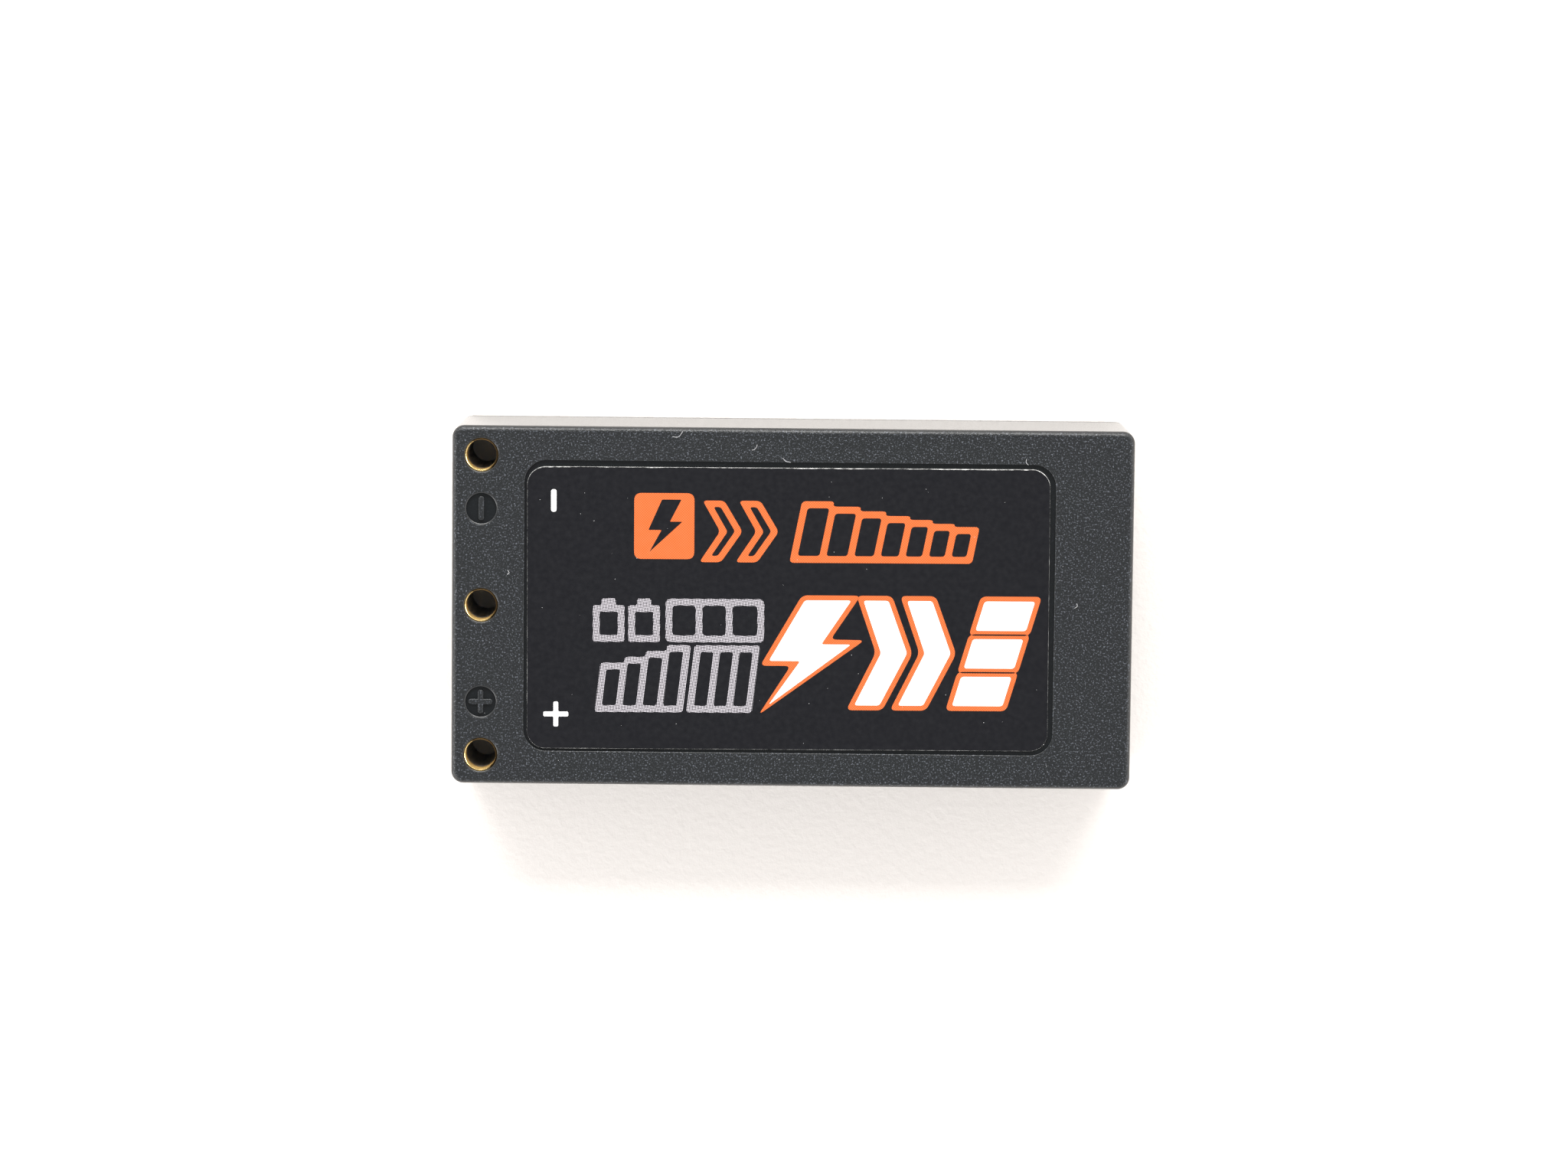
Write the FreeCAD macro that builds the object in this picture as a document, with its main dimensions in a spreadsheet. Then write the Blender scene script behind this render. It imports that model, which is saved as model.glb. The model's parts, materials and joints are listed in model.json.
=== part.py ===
"""Hard-case two-cell lithium polymer pack with three bullet sockets in its top face.

Frame: origin under the middle of the case, +X along its length away from the sockets,
+Y across its width, +Z up through the labelled face. Millimetres throughout.
"""
import FreeCAD, Part
import math
import os
import Sketcher

DIMENSIONS = {
    # moulded case
    "case_length": 45.2,
    "case_width": 23.9,
    "case_height": 10.0,
    "case_corner": 0.8,
    "case_round": 0.35,
    "wall": 0.8,
    "skin": 0.8,
    "cover_height": 1.0,
    "seam_chamfer": 0.08,
    "spigot_wall": 0.25,
    "spigot_height": 0.5,
    "spigot_play": 0.02,
    # label fields in both broad faces
    "recess_length": 35.2,
    "recess_width": 19.4,
    "recess_shift": -0.2,
    "recess_corner": 1.5,
    "recess_depth": 0.25,
    "recess_round": 0.06,
    "label_length": 34.65,
    "label_width": 18.8,
    "label_corner": 1.2,
    "label_thickness": 0.12,
    "label_shift_x": -0.07,
    "label_shift_y": -0.08,
    "label_turn": 0.2,
    # polarity marks beside the power sockets
    "disc_offset": 6.45,
    "disc_diameter": 2.17,
    "disc_depth": 0.22,
    "mark_length": 1.58,
    "mark_width": 0.36,
    "mark_round": 0.15,
    # bullet sockets, their seats and their posts
    "socket_pitch": 10.0,
    "socket_inset": 1.95,
    "socket_bore": 2.0,
    "mouth_diameter": 2.32,
    "mouth_sink": 0.1,
    "mouth_round": 0.05,
    "hole_diameter": 2.36,
    "flange_diameter": 2.7,
    "flange_height": 0.7,
    "barrel_diameter": 2.5,
    "socket_end": 0.8,
    "boss_diameter": 3.8,
    "boss_height": 1.0,
    "seat_play": 0.02,
    "post_diameter": 2.0,
    "post_height": 0.6,
    # wiring board and the strips that join the sockets to it
    "solder_film": 0.05,
    "strip_thickness": 0.15,
    "strip_width": 1.8,
    "strip_base": 2.2,
    "strip_top": 7.8,
    "bead_depth": 0.4,
    "bead_width": 1.6,
    "bead_base": 3.0,
    "bead_top": 7.0,
    "board_thickness": 0.6,
    "board_width": 20.8,
    "board_top": 8.0,
    "rib_length": 0.6,
    "rib_reach": 1.0,
    "rib_gap": 0.1,
    # pouch cells
    "cell_gap": 2.3,
    "cell_length": 36.6,
    "cell_width": 21.6,
    "cell_round": 0.2,
    "laminate": 0.12,
    "seal_length": 1.2,
    "seal_thickness": 0.5,
    "tab_offset": 5.0,
    "tab_width": 3.0,
    "tab_thickness": 0.1,
    "tab_leg": 1.4,
    "film_margin": 0.8,
    "film_thickness": 0.05,
    "film_overhang": 0.4,
    "tab_bead_radius": 0.3,
    "tab_bead_length": 2.6,
    # padding and tapes
    "pad_thickness": 0.25,
    "pad_start": -15.0,
    "pad_finish": 7.0,
    "pad_width": 18.0,
    "tape_thickness": 0.1,
    "tape_start": -14.0,
    "tape_finish": 18.0,
    "band_start": 9.0,
    "band_finish": 15.0,
    "band_thickness": 0.06,
    "end_pad_width": 16.0,
    "end_pad_height": 6.4,
}

# Places that several pieces share, as expressions of the driving dimensions.
CASE_END = "(dim.case_length / 2)"
CASE_SIDE = "(dim.case_width / 2)"
INNER_END = "(dim.case_length / 2 - dim.wall)"
INNER_SIDE = "(dim.case_width / 2 - dim.wall)"
INNER_TOP = "(dim.case_height - dim.skin)"
SOCKET_X = "(dim.socket_inset - dim.case_length / 2)"
MOUTH_TOP = "(dim.case_height - dim.mouth_sink)"
SEAT_BASE = f"({INNER_TOP} - dim.boss_height)"
FLANGE_BASE = f"({INNER_TOP} - dim.flange_height)"
SPIGOT_TOP = "(dim.cover_height + dim.spigot_height)"
POST_TOP = "(dim.cover_height + dim.post_height)"
STRIP_FRONT = f"({SOCKET_X} + dim.barrel_diameter / 2 + dim.solder_film)"
BOARD_FRONT = f"({STRIP_FRONT} + dim.strip_thickness)"
BOARD_BACK = f"({BOARD_FRONT} + dim.board_thickness)"
CELL_FRONT = f"({BOARD_BACK} + dim.cell_gap)"
CELL_END = f"({CELL_FRONT} + dim.cell_length)"
STACK_FRONT = f"({CELL_FRONT} + dim.laminate)"
CELLS_BASE = "(dim.cover_height + dim.pad_thickness)"
CELLS_TOP = "(dim.case_height - dim.skin - dim.pad_thickness)"
CELLS_MIDDLE = f"(({CELLS_BASE} + {CELLS_TOP}) / 2)"
CELL_HEIGHT = f"(({CELLS_TOP} - {CELLS_BASE} - dim.tape_thickness) / 2)"
LOWER_MIDDLE = f"({CELLS_BASE} + {CELL_HEIGHT} / 2)"
UPPER_MIDDLE = f"({CELLS_TOP} - {CELL_HEIGHT} / 2)"

SOCKETS = {
    "negative": "dim.socket_pitch",
    "balance": "0",
    "positive": "-dim.socket_pitch",
}
TABS = {
    "negative": "dim.tab_offset",
    "positive": "-dim.tab_offset",
}
CELLS = {
    "lower_cell": LOWER_MIDDLE,
    "upper_cell": UPPER_MIDDLE,
}

doc = FreeCAD.newDocument("battery_pack")
sheet = doc.addObject("Spreadsheet::Sheet", "dim")
for row, (alias, size) in enumerate(DIMENSIONS.items(), start=1):
    sheet.set(f"A{row}", alias)
    sheet.set(f"B{row}", str(size))
    sheet.setAlias(f"B{row}", alias)
doc.recompute()

nodes = []


def value(expression):
    """The number that an expression of the sheet's dimensions stands for now."""
    return float(sheet.evalExpression(expression))


def around(middle, size):
    """The low and high expressions of a span with this middle and size."""
    return f"({middle} - ({size}) / 2)", f"({middle} + ({size}) / 2)"


def new_body(label):
    """An empty body that will be written as one node."""
    body = doc.addObject("PartDesign::Body", label)
    body.Label = label
    nodes.append(body)
    return body


def add_block(body, name, x, y, z, cut=False):
    """A box between two X, two Y and two Z expressions, added to the body or cut from it."""
    kind = "PartDesign::SubtractiveBox" if cut else "PartDesign::AdditiveBox"
    block = body.newObject(kind, name)
    for size, axis, (low, high) in zip(("Length", "Width", "Height"), "xyz", (x, y, z)):
        block.setExpression(size, f"{high} - ({low})")
        block.setExpression(f"Placement.Base.{axis}", low)
    return block


def add_cylinder(body, name, base, diameter, length, turn=None, cut=False):
    """A cylinder from a base point of three expressions, along +Z unless it is turned."""
    kind = "PartDesign::SubtractiveCylinder" if cut else "PartDesign::AdditiveCylinder"
    cylinder = body.newObject(kind, name)
    if turn:
        cylinder.Placement = FreeCAD.Placement(FreeCAD.Vector(), turn)
    cylinder.setExpression("Radius", f"({diameter}) / 2")
    cylinder.setExpression("Height", length)
    for axis, place in zip("xyz", base):
        cylinder.setExpression(f"Placement.Base.{axis}", place)
    return cylinder


def add_sketch(body, name, plane="XY_Plane", offset="0"):
    """A sketch on one of the body's own origin planes, moved along its normal."""
    sketch = body.newObject("Sketcher::SketchObject", name)
    support = next(item for item in body.Origin.OriginFeatures if item.Role == plane)
    sketch.AttachmentSupport = [(support, "")]
    sketch.MapMode = "FlatFace"
    sketch.setExpression("AttachmentOffset.Base.z", offset)
    return sketch


def bind(sketch, expression, kind, *where):
    """A dimension of the sketch that follows an expression."""
    index = sketch.addConstraint(Sketcher.Constraint(kind, *where, value(expression)))
    sketch.setExpression(f"Constraints[{index}]", expression)


def add_circle(sketch, x, y, diameter):
    centre = FreeCAD.Vector(value(x), value(y), 0)
    circle = sketch.addGeometry(Part.Circle(centre, FreeCAD.Vector(0, 0, 1), value(diameter) / 2))
    bind(sketch, x, "DistanceX", -1, 1, circle, 3)
    bind(sketch, y, "DistanceY", -1, 1, circle, 3)
    bind(sketch, diameter, "Diameter", circle)


def add_outline(sketch, corners):
    """A closed outline of upright and level lines through corners given as expressions."""
    points = [FreeCAD.Vector(value(x), value(y), 0) for x, y in corners]
    following = corners[1:] + corners[:1]
    lines = [
        sketch.addGeometry(Part.LineSegment(start, finish))
        for start, finish in zip(points, points[1:] + points[:1])
    ]
    for line, next_line in zip(lines, lines[1:] + lines[:1]):
        sketch.addConstraint(Sketcher.Constraint("Coincident", line, 2, next_line, 1))
    for line, (x, y), (next_x, _) in zip(lines, corners, following):
        if x == next_x:
            sketch.addConstraint(Sketcher.Constraint("Vertical", line))
            bind(sketch, x, "DistanceX", -1, 1, line, 1)
        else:
            sketch.addConstraint(Sketcher.Constraint("Horizontal", line))
            bind(sketch, y, "DistanceY", -1, 1, line, 1)


def add_rounded_rectangle(sketch, x, y, radius):
    """A rectangle between two X and two Y expressions with four equal round corners."""
    (left, right), (bottom, top) = [[value(edge) for edge in span] for span in (x, y)]
    r = value(radius)
    up = FreeCAD.Vector(0, 0, 1)
    quarter = math.pi / 2
    starts = [(left + r, bottom), (right, bottom + r), (right - r, top), (left, top - r)]
    ends = [(right - r, bottom), (right, top - r), (left + r, top), (left, bottom + r)]
    centres = [(right - r, bottom + r), (right - r, top - r), (left + r, top - r), (left + r, bottom + r)]
    sides = []
    bends = []
    for turn, (start, end, centre) in enumerate(zip(starts, ends, centres)):
        side = Part.LineSegment(FreeCAD.Vector(*start, 0), FreeCAD.Vector(*end, 0))
        bend = Part.ArcOfCircle(
            Part.Circle(FreeCAD.Vector(*centre, 0), up, r),
            (turn - 1) * quarter,
            turn * quarter,
        )
        sides.append(sketch.addGeometry(side))
        bends.append(sketch.addGeometry(bend))
    for side, bend, next_side in zip(sides, bends, sides[1:] + sides[:1]):
        sketch.addConstraint(Sketcher.Constraint("Tangent", side, 2, bend, 1))
        sketch.addConstraint(Sketcher.Constraint("Tangent", bend, 2, next_side, 1))
    for bend in bends[1:]:
        sketch.addConstraint(Sketcher.Constraint("Equal", bends[0], bend))
    for side, direction in zip(sides, ("Horizontal", "Vertical", "Horizontal", "Vertical")):
        sketch.addConstraint(Sketcher.Constraint(direction, side))
    bind(sketch, y[0], "DistanceY", -1, 1, sides[0], 1)
    bind(sketch, x[1], "DistanceX", -1, 1, sides[1], 1)
    bind(sketch, y[1], "DistanceY", -1, 1, sides[2], 1)
    bind(sketch, x[0], "DistanceX", -1, 1, sides[3], 1)
    bind(sketch, radius, "Radius", bends[0])


def extrude(body, kind, sketch, length):
    """A Pad up from the sketch, or a Pocket down from it."""
    feature = body.newObject(f"PartDesign::{kind}", f"{sketch.Name}_{kind.lower()}")
    feature.Profile = sketch
    feature.setExpression("Length", length)
    sketch.Visibility = False
    return feature


def edges_where(feature, test):
    """Names of the feature's edges whose bounding box passes the test."""
    edges = feature.Shape.Edges
    return [f"Edge{index}" for index, edge in enumerate(edges, start=1) if test(edge.BoundBox)]


def lies_at(box, height):
    return abs(box.ZMin - height) < 1e-4 and abs(box.ZMax - height) < 1e-4


def treat_edges(body, kind, base, edges, size):
    """A Fillet or a Chamfer on the named edges of the base feature."""
    feature = body.newObject(f"PartDesign::{kind}", f"{base.Name}_{kind.lower()}")
    feature.Base = (base, edges)
    feature.setExpression("Radius" if kind == "Fillet" else "Size", size)
    return feature


def outer_block(body, name, low, high):
    """The plain outer form of the case between two heights, rounded in plan."""
    sketch = add_sketch(body, name, offset=low)
    add_rounded_rectangle(
        sketch, around("0", "dim.case_length"), around("0", "dim.case_width"), "dim.case_corner"
    )
    return extrude(body, "Pad", sketch, f"{high} - ({low})")


def round_and_chamfer(body, block, rounded_height):
    """Rounds the block's edge at one height and breaks its edge at the seam of the cover."""
    doc.recompute()
    rounded = edges_where(block, lambda box: lies_at(box, value(rounded_height)))
    fillet = treat_edges(body, "Fillet", block, rounded, "dim.case_round")
    doc.recompute()
    broken = edges_where(fillet, lambda box: lies_at(box, value("dim.cover_height")))
    treat_edges(body, "Chamfer", fillet, broken, "dim.seam_chamfer")


def label_field(body, name, top):
    """The shallow field that a label lies in, cut down from the given height."""
    sketch = add_sketch(body, name, offset=top)
    add_rounded_rectangle(
        sketch,
        around("dim.recess_shift", "dim.recess_length"),
        around("0", "dim.recess_width"),
        "dim.recess_corner",
    )
    return extrude(body, "Pocket", sketch, "dim.recess_depth")


def soften_face(body, feature, height):
    """Rounds the edges that lie in a broad face, all but the rim of the case itself."""
    doc.recompute()
    reach_x = value(f"{CASE_END} - 2 * dim.case_round")
    reach_y = value(f"{CASE_SIDE} - 2 * dim.case_round")

    def inside_face(box):
        in_length = -reach_x < box.XMin and box.XMax < reach_x
        in_width = -reach_y < box.YMin and box.YMax < reach_y
        return lies_at(box, value(height)) and in_length and in_width

    treat_edges(body, "Fillet", feature, edges_where(feature, inside_face), "dim.recess_round")


def make_bottom_cover():
    """The flat cover: its spigot plugs the shell, and a post stands under each socket."""
    body = new_body("bottom_cover")
    block = outer_block(body, "cover_form", "0", "dim.cover_height")
    round_and_chamfer(body, block, "0")
    spigot_z = ("dim.cover_height", SPIGOT_TOP)
    outer_length = f"2 * ({INNER_END} - dim.spigot_play)"
    outer_width = f"2 * ({INNER_SIDE} - dim.spigot_play)"
    add_block(body, "spigot", around("0", outer_length), around("0", outer_width), spigot_z)
    inner_length = f"{outer_length} - 2 * dim.spigot_wall"
    inner_width = f"{outer_width} - 2 * dim.spigot_wall"
    add_block(
        body, "spigot_inside", around("0", inner_length), around("0", inner_width), spigot_z, cut=True
    )
    posts = add_sketch(body, "posts", offset="dim.cover_height")
    for y in SOCKETS.values():
        add_circle(posts, SOCKET_X, y, "dim.post_diameter")
    extrude(body, "Pad", posts, "dim.post_height")
    soften_face(body, label_field(body, "bottom_field", "dim.recess_depth"), "0")


def cut_polarity_discs(body):
    """Round sinks with a bar and a cross left standing level with the case."""
    minus = add_sketch(body, "minus_disc", offset="dim.case_height")
    add_circle(minus, SOCKET_X, "dim.disc_offset", "dim.disc_diameter")
    arm_x = around(SOCKET_X, "dim.mark_width")
    reach_x = around(SOCKET_X, "dim.mark_length")
    bar_y = around("dim.disc_offset", "dim.mark_length")
    add_outline(
        minus,
        [(arm_x[0], bar_y[0]), (arm_x[1], bar_y[0]), (arm_x[1], bar_y[1]), (arm_x[0], bar_y[1])],
    )
    extrude(body, "Pocket", minus, "dim.disc_depth")

    plus = add_sketch(body, "plus_disc", offset="dim.case_height")
    add_circle(plus, SOCKET_X, "-dim.disc_offset", "dim.disc_diameter")
    arm_y = around("-dim.disc_offset", "dim.mark_width")
    reach_y = around("-dim.disc_offset", "dim.mark_length")
    add_outline(
        plus,
        [
            (arm_x[0], reach_y[0]),
            (arm_x[1], reach_y[0]),
            (arm_x[1], arm_y[0]),
            (reach_x[1], arm_y[0]),
            (reach_x[1], arm_y[1]),
            (arm_x[1], arm_y[1]),
            (arm_x[1], reach_y[1]),
            (arm_x[0], reach_y[1]),
            (arm_x[0], arm_y[1]),
            (reach_x[0], arm_y[1]),
            (reach_x[0], arm_y[0]),
            (arm_x[0], arm_y[0]),
        ],
    )
    return extrude(body, "Pocket", plus, "dim.disc_depth")


def round_mark_ends(body, feature):
    """Rounds the upright edges at the ends of the bar and of the cross's four arms."""
    doc.recompute()
    middle_x = value(SOCKET_X)
    arm_end = value("dim.mark_length / 2")
    arm_side = value("dim.mark_width / 2")

    def at_arm_end(box):
        across = abs(box.XMin - middle_x)
        along = abs(abs(box.YMin) - value("dim.disc_offset"))
        upright = box.XLength < 1e-4 and box.YLength < 1e-4 and box.ZMax > value(INNER_TOP)
        reach = (min(across, along) - arm_side, max(across, along) - arm_end)
        return upright and all(abs(gap) < 1e-4 for gap in reach)

    treat_edges(body, "Fillet", feature, edges_where(feature, at_arm_end), "dim.mark_round")


def make_case_shell():
    """The deep shell: top face, side walls, socket seats and the ribs behind the wiring board."""
    body = new_body("case_shell")
    block = outer_block(body, "shell_form", "dim.cover_height", "dim.case_height")
    round_and_chamfer(body, block, "dim.case_height")
    add_block(
        body,
        "cavity",
        around("0", f"2 * {INNER_END}"),
        around("0", f"2 * {INNER_SIDE}"),
        ("dim.cover_height", INNER_TOP),
        cut=True,
    )
    bosses = add_sketch(body, "bosses", offset=SEAT_BASE)
    seats = add_sketch(body, "seats", offset=INNER_TOP)
    holes = add_sketch(body, "holes", offset="dim.case_height")
    for y in SOCKETS.values():
        add_circle(bosses, SOCKET_X, y, "dim.boss_diameter")
        add_circle(seats, SOCKET_X, y, "dim.flange_diameter + 2 * dim.seat_play")
        add_circle(holes, SOCKET_X, y, "dim.hole_diameter")
    extrude(body, "Pad", bosses, "dim.boss_height")
    extrude(body, "Pocket", seats, "dim.boss_height")
    extrude(body, "Pocket", holes, "dim.skin")
    for name, y in SOCKETS.items():
        add_cylinder(
            body,
            f"{name}_wall_relief",
            (SOCKET_X, y, "dim.cover_height"),
            "dim.barrel_diameter + 2 * dim.seat_play",
            f"{SEAT_BASE} - dim.cover_height",
            cut=True,
        )
    rib_x = (BOARD_BACK, f"({BOARD_BACK} + dim.rib_length)")
    rib_z = (f"({SPIGOT_TOP} + dim.rib_gap)", INNER_TOP)
    add_block(body, "rear_rib", rib_x, (f"({INNER_SIDE} - dim.rib_reach)", INNER_SIDE), rib_z)
    add_block(body, "front_rib", rib_x, (f"(-{INNER_SIDE})", f"(dim.rib_reach - {INNER_SIDE})"), rib_z)
    round_mark_ends(body, cut_polarity_discs(body))
    soften_face(body, label_field(body, "top_field", "dim.case_height"), "dim.case_height")


def make_label(label, base):
    """A printed film in a label field, with its lower face at the given height."""
    body = new_body(label)
    sketch = add_sketch(body, f"{label}_outline", offset=base)
    add_rounded_rectangle(
        sketch,
        around("dim.recess_shift", "dim.label_length"),
        around("0", "dim.label_width"),
        "dim.label_corner",
    )
    extrude(body, "Pad", sketch, "dim.label_thickness")
    return body


def lay_by_hand(label):
    """Moves and turns a label a little in its field, as a label stuck on by hand lies."""
    label.setExpression("Placement.Base.x", "dim.label_shift_x")
    label.setExpression("Placement.Base.y", "dim.label_shift_y")
    label.setExpression("Placement.Rotation.Angle", "dim.label_turn * 1 deg")


def make_socket(name, y):
    """A turned bullet socket: mouth, flange, barrel and a blind bore open at the top."""
    body = new_body(f"{name}_socket")
    profile = add_sketch(body, f"{name}_profile", plane="XZ_Plane")
    add_outline(
        profile,
        [
            ("0", POST_TOP),
            ("dim.barrel_diameter / 2", POST_TOP),
            ("dim.barrel_diameter / 2", FLANGE_BASE),
            ("dim.flange_diameter / 2", FLANGE_BASE),
            ("dim.flange_diameter / 2", INNER_TOP),
            ("dim.mouth_diameter / 2", INNER_TOP),
            ("dim.mouth_diameter / 2", MOUTH_TOP),
            ("dim.socket_bore / 2", MOUTH_TOP),
            ("dim.socket_bore / 2", f"({POST_TOP} + dim.socket_end)"),
            ("0", f"({POST_TOP} + dim.socket_end)"),
        ],
    )
    turned = body.newObject("PartDesign::Revolution", f"{name}_turned")
    turned.Profile = profile
    turned.ReferenceAxis = (profile, ["V_Axis"])
    turned.Angle = 360
    profile.Visibility = False
    doc.recompute()
    lips = edges_where(turned, lambda box: lies_at(box, value(MOUTH_TOP)))
    treat_edges(body, "Fillet", turned, lips, "dim.mouth_round")
    body.setExpression("Placement.Base.x", SOCKET_X)
    body.setExpression("Placement.Base.y", y)


def make_strip(name, y):
    """A flat metal strip between a socket's barrel and the wiring board."""
    add_block(
        new_body(f"{name}_strip"),
        f"{name}_strip_block",
        (STRIP_FRONT, BOARD_FRONT),
        around(y, "dim.strip_width"),
        ("dim.strip_base", "dim.strip_top"),
    )


def make_socket_solder():
    """The solder that fills the wedge between each barrel and its strip."""
    body = new_body("socket_solder")
    for name, y in SOCKETS.items():
        add_block(
            body,
            f"{name}_bead",
            (f"({STRIP_FRONT} - dim.bead_depth)", STRIP_FRONT),
            around(y, "dim.bead_width"),
            ("dim.bead_base", "dim.bead_top"),
        )
        add_cylinder(
            body,
            f"{name}_bead_hollow",
            (SOCKET_X, y, "dim.bead_base"),
            "dim.barrel_diameter",
            "dim.bead_top - dim.bead_base",
            cut=True,
        )


def make_board():
    add_block(
        new_body("terminal_board"),
        "board_block",
        (BOARD_FRONT, BOARD_BACK),
        around("0", "dim.board_width"),
        ("dim.cover_height", "dim.board_top"),
    )


def tab_leg_base(middle):
    """Height of the lower end of a tab's folded leg."""
    return f"({middle} - dim.tab_leg)"


def make_pouch(cell, middle):
    """The sealed laminate pouch, hollow for its electrode stack and open where its tabs leave."""
    body = new_body(f"{cell}_pouch")
    block = add_block(
        body,
        f"{cell}_block",
        (CELL_FRONT, CELL_END),
        around("0", "dim.cell_width"),
        around(middle, CELL_HEIGHT),
    )
    doc.recompute()
    every_edge = edges_where(block, lambda box: True)
    treat_edges(body, "Fillet", block, every_edge, "dim.cell_round")
    add_block(
        body,
        f"{cell}_seal",
        (f"({CELL_FRONT} - dim.seal_length)", STACK_FRONT),
        around("0", "dim.cell_width - 2 * dim.cell_round"),
        around(middle, "dim.seal_thickness"),
    )
    add_block(
        body,
        f"{cell}_hollow",
        (STACK_FRONT, f"({CELL_END} - dim.laminate)"),
        around("0", "dim.cell_width - 2 * dim.laminate"),
        around(middle, f"{CELL_HEIGHT} - 2 * dim.laminate"),
        cut=True,
    )
    for polarity, y in TABS.items():
        add_block(
            body,
            f"{cell}_{polarity}_way",
            (f"({CELL_FRONT} - dim.seal_length)", STACK_FRONT),
            around(y, "dim.tab_width + 2 * dim.film_margin"),
            around(middle, "dim.tab_thickness + 2 * dim.film_thickness"),
            cut=True,
        )


def make_stack(cell, middle):
    """The stacked electrodes and separators, which fill the pouch."""
    add_block(
        new_body(f"{cell}_electrode_stack"),
        f"{cell}_stack_block",
        (STACK_FRONT, f"({CELL_END} - dim.laminate)"),
        around("0", "dim.cell_width - 2 * dim.laminate"),
        around(middle, f"{CELL_HEIGHT} - 2 * dim.laminate"),
    )


def make_tab(cell, middle, polarity, y):
    """A thin tab that runs out through the seal and folds down against the board."""
    body = new_body(f"{cell}_{polarity}_tab")
    width = around(y, "dim.tab_width")
    run_z = around(middle, "dim.tab_thickness")
    add_block(body, f"{cell}_{polarity}_run", (BOARD_BACK, STACK_FRONT), width, run_z)
    add_block(
        body,
        f"{cell}_{polarity}_leg",
        (BOARD_BACK, f"({BOARD_BACK} + dim.tab_thickness)"),
        width,
        (tab_leg_base(middle), run_z[1]),
    )


def make_tab_films(cell, middle):
    """The sealing films around both tabs where they pass through the pouch's seal."""
    body = new_body(f"{cell}_tab_films")
    film_x = (f"({CELL_FRONT} - dim.seal_length - dim.film_overhang)", STACK_FRONT)
    for polarity, y in TABS.items():
        add_block(
            body,
            f"{cell}_{polarity}_film",
            film_x,
            around(y, "dim.tab_width + 2 * dim.film_margin"),
            around(middle, "dim.tab_thickness + 2 * dim.film_thickness"),
        )
        add_block(
            body,
            f"{cell}_{polarity}_film_way",
            film_x,
            around(y, "dim.tab_width"),
            around(middle, "dim.tab_thickness"),
            cut=True,
        )


def make_tab_solder():
    """A half-round solder bead over the end of each tab's leg, on the board's inner face."""
    body = new_body("tab_solder")
    along_y = FreeCAD.Rotation(FreeCAD.Vector(1, 0, 0), -90)
    bead_x = (f"({BOARD_BACK} - dim.tab_bead_radius)", BOARD_BACK)
    leg_x = (BOARD_BACK, f"({BOARD_BACK} + dim.tab_thickness)")
    for cell, middle in CELLS.items():
        leg_base = tab_leg_base(middle)
        bead_z = (f"({leg_base} - dim.tab_bead_radius)", f"({leg_base} + dim.tab_bead_radius)")
        for polarity, y in TABS.items():
            name = f"{cell}_{polarity}"
            bead_y = around(y, "dim.tab_bead_length")
            add_cylinder(
                body,
                f"{name}_solder",
                (BOARD_BACK, bead_y[0], leg_base),
                "2 * dim.tab_bead_radius",
                "dim.tab_bead_length",
                turn=along_y,
            )
            add_block(body, f"{name}_board_side", bead_x, bead_y, bead_z, cut=True)
            add_block(body, f"{name}_leg_side", leg_x, bead_y, (leg_base, bead_z[1]), cut=True)


def make_padding():
    """Foam above, below and behind the cells, and the tapes that hold them together."""
    pad_x = ("dim.pad_start", "dim.pad_finish")
    pad_y = around("0", "dim.pad_width")
    add_block(new_body("bottom_pad"), "bottom_pad_block", pad_x, pad_y, ("dim.cover_height", CELLS_BASE))
    add_block(new_body("top_pad"), "top_pad_block", pad_x, pad_y, (CELLS_TOP, INNER_TOP))
    add_block(
        new_body("end_pad"),
        "end_pad_block",
        (CELL_END, INNER_END),
        around("0", "dim.end_pad_width"),
        around(CELLS_MIDDLE, "dim.end_pad_height"),
    )
    tape_z = around(CELLS_MIDDLE, "dim.tape_thickness")
    tape_x = ("dim.tape_start", "dim.tape_finish")
    add_block(new_body("cell_tape"), "cell_tape_block", tape_x, pad_y, tape_z)

    band = new_body("cell_band")
    band_x = ("dim.band_start", "dim.band_finish")
    cells_height = f"{CELLS_TOP} - {CELLS_BASE}"
    for name, grow, cut in (("band_outside", "2 * dim.band_thickness", False), ("band_inside", "0", True)):
        add_block(
            band,
            name,
            band_x,
            around("0", f"dim.cell_width + {grow}"),
            around(CELLS_MIDDLE, f"{cells_height} + {grow}"),
            cut=cut,
        )


def make_nodes():
    make_bottom_cover()
    make_case_shell()
    lay_by_hand(make_label("top_label", "dim.case_height - dim.recess_depth"))
    make_label("bottom_label", "dim.recess_depth - dim.label_thickness")
    for name, y in SOCKETS.items():
        make_socket(name, y)
        make_strip(name, y)
    make_socket_solder()
    make_board()
    for cell, middle in CELLS.items():
        make_pouch(cell, middle)
        make_stack(cell, middle)
        make_tab_films(cell, middle)
        for polarity, y in TABS.items():
            make_tab(cell, middle, polarity, y)
    make_tab_solder()
    make_padding()


def check_nodes():
    """Stops if any object failed, or any node has no sound shape."""
    for item in doc.Objects:
        if "Invalid" in item.State or "Error" in item.State:
            raise RuntimeError(f"{item.Label} did not compute: {item.State}")
    for body in nodes:
        if body.Shape.isNull() or not body.Shape.isValid() or not body.Shape.Solids:
            raise RuntimeError(f"{body.Label} has no sound shape")


def write_nodes():
    os.makedirs("parts", exist_ok=True)
    for body in nodes:
        body.Shape.exportStep(f"parts/{body.Label}.step")
        print(f"{body.Label}: {len(body.Shape.Solids)} solid(s), {body.Shape.Volume:.2f} mm3")


make_nodes()
doc.recompute()
check_nodes()
write_nodes()
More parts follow.
